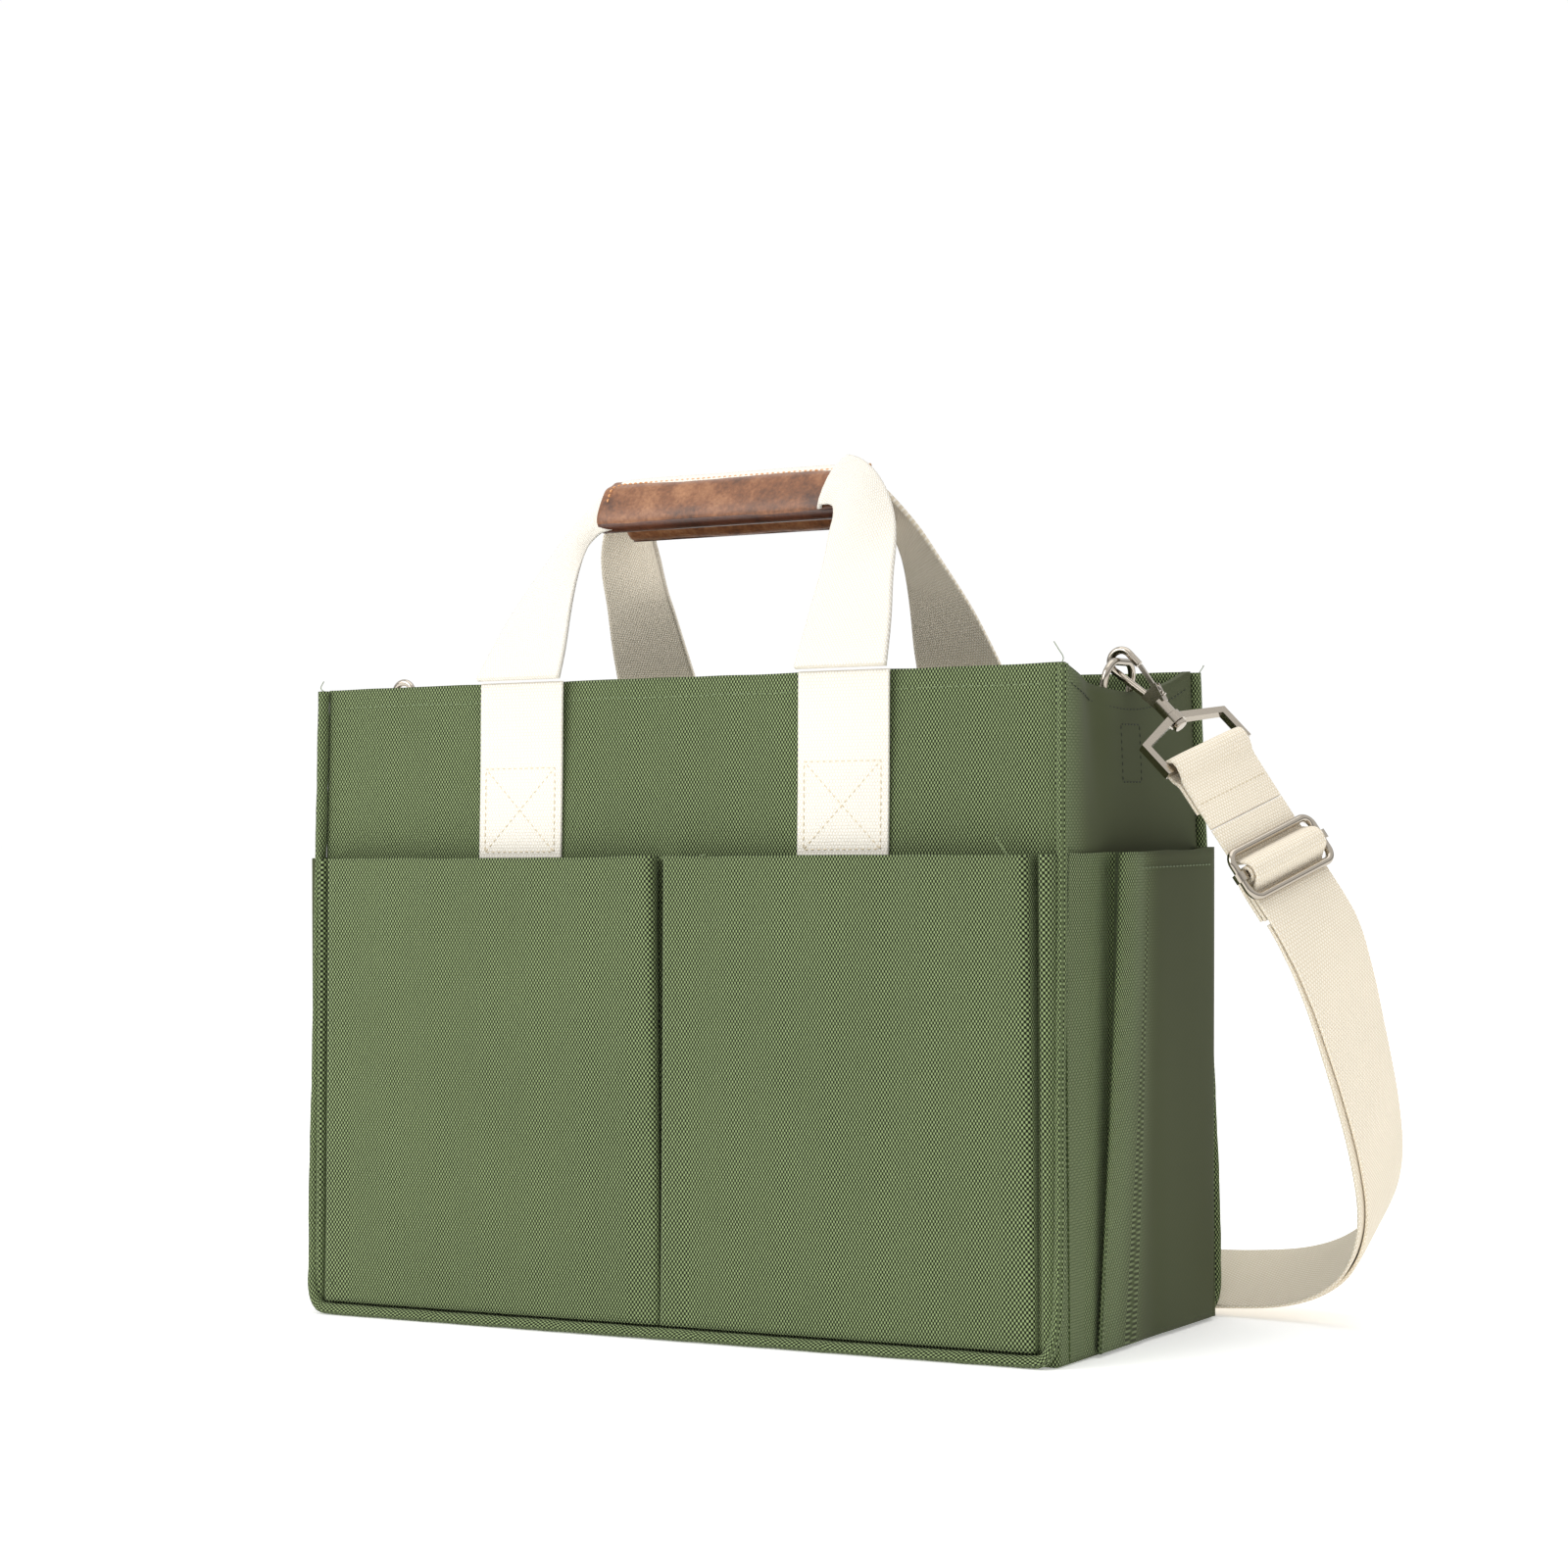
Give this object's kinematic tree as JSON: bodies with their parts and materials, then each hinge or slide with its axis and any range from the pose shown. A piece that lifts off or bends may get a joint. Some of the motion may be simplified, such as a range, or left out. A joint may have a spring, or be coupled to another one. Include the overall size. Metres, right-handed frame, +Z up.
{
  "type": "garden tool bag",
  "caption": "Open canvas garden tool bag with pockets all round, two webbing handles with leather grips and a clip-on shoulder strap.",
  "frame": {"origin": "middle of the base on the floor, under the bag itself; the strap is left out", "axes": "+X to the right side of the bag seen from the front, -Y the front, +Z up"},
  "size_m": [0.4528, 0.1818, 0.3258],
  "materials": {
    "canvas": "coarse plain-weave canvas",
    "lining_cloth": "smooth lining cloth",
    "webbing": "ribbed cotton webbing",
    "leather": "grained, semi-matt",
    "nickel": "bright nickel plate",
    "stiffener": "plain board"
  },
  "bodies": {
    "bag": {"back_board": "stiffener", "back_leg_left": "webbing", "back_leg_right": "webbing", "back_panel": "canvas", "back_pocket_left": "canvas", "back_pocket_right": "canvas", "back_seam_binding": "canvas", "base_board": "stiffener", "base_panel": "canvas", "front_board": "stiffener", "front_leg_left": "webbing", "front_leg_right": "webbing", "front_panel": "canvas", "front_pocket_left": "canvas", "front_pocket_right": "canvas", "front_seam_binding": "canvas", "lining": "lining_cloth", "rim_hem": "canvas", "ring_tab_left": "webbing", "ring_tab_right": "webbing", "side_panel_left": "canvas", "side_panel_right": "canvas", "side_pocket_left": "canvas", "side_pocket_right": "canvas", "strap_outer": "webbing", "strap_return": "webbing", "strap_upper": "webbing"},
    "front_handle": {"front_handle_webbing": "webbing", "front_grip": "leather"},
    "back_handle": {"back_handle_webbing": "webbing", "back_grip": "leather"},
    "slider": {"slider_frame": "nickel", "slider_bar": "nickel", "strap_slider_fold": "webbing"},
    "d_ring_body_right": {"d_ring_right": "nickel"},
    "hook_right": {"snap_hook_right": "nickel", "gate_pin_right": "nickel", "swivel_pin_right": "nickel", "gate_spring_right": "nickel"},
    "gate_right": {"hook_gate_right": "nickel"},
    "strap_ring_body_right": {"strap_ring_right": "nickel", "strap_end_loop": "webbing"},
    "d_ring_body_left": {"d_ring_left": "nickel"},
    "hook_left": {"snap_hook_left": "nickel", "gate_pin_left": "nickel", "swivel_pin_left": "nickel", "gate_spring_left": "nickel"},
    "gate_left": {"hook_gate_left": "nickel"},
    "strap_ring_body_left": {"strap_ring_left": "nickel", "strap_left_fold": "webbing"}
  },
  "joints": [
    {"name": "front_handle_fold", "type": "hinge", "parent": "bag", "child": "front_handle", "pos_m": [0, -0.0593, 0.2465], "axis": [1, 0, 0], "range_deg": [-4, 195]},
    {"name": "back_handle_fold", "type": "hinge", "parent": "bag", "child": "back_handle", "pos_m": [0, 0.0593, 0.2465], "axis": [-1, 0, 0], "range_deg": [-4, 195]},
    {"name": "d_ring_swing_right", "type": "hinge", "parent": "bag", "child": "d_ring_body_right", "pos_m": [0.1563, 0, 0.2352], "axis": [0, 1, 0], "range_deg": [-15, 4], "deforming": ["strap_upper", "strap_outer", "strap_return"]},
    {"name": "hook_lift_right", "type": "hinge", "parent": "d_ring_body_right", "child": "hook_right", "pos_m": [0.159, 0, 0.24792], "axis": [0, -1, 0], "range_deg": [0, 130], "deforming": ["strap_upper", "strap_outer", "strap_return"]},
    {"name": "gate_press_right", "type": "hinge", "parent": "hook_right", "child": "gate_right", "pos_m": [0.17289, 0, 0.23728], "axis": [0, -1, 0], "range_deg": [0, 22], "stiffness_Nm_per_rad": 0.02, "springref_deg": -5.16, "deforming": ["gate_spring_right"]},
    {"name": "strap_ring_swivel_right", "type": "hinge", "parent": "hook_right", "child": "strap_ring_body_right", "pos_m": [0.17984, 0, 0.22634], "axis": [0.6947, 0, -0.7193], "continuous": true, "deforming": ["strap_upper", "strap_outer", "strap_return"]},
    {"name": "d_ring_swing_left", "type": "hinge", "parent": "bag", "child": "d_ring_body_left", "pos_m": [-0.1563, 0, 0.238], "axis": [0, -1, 0], "range_deg": [-50, 0], "deforming": ["strap_outer", "strap_return"]},
    {"name": "hook_lift_left", "type": "hinge", "parent": "d_ring_body_left", "child": "hook_left", "pos_m": [-0.16626, 0, 0.24636], "axis": [0, 1, 0], "range_deg": [0, 130], "deforming": ["strap_outer", "strap_return"]},
    {"name": "gate_press_left", "type": "hinge", "parent": "hook_left", "child": "gate_left", "pos_m": [-0.17462, 0, 0.23099], "axis": [0, 1, 0], "range_deg": [0, 22], "stiffness_Nm_per_rad": 0.02, "springref_deg": -5.16, "deforming": ["gate_spring_left"]},
    {"name": "strap_ring_swivel_left", "type": "hinge", "parent": "hook_left", "child": "strap_ring_body_left", "pos_m": [-0.17652, 0, 0.21816], "axis": [-0.342, 0, -0.9397], "range_deg": [-35, 35], "deforming": ["strap_outer", "strap_return"]},
    {"name": "slider_travel", "type": "slide", "parent": "bag", "child": "slider", "axis": [0.5194, 0.111, -0.8473], "range_m": [-0.008, 0.012], "deforming": ["strap_upper", "strap_outer", "strap_return"]}
  ]
}
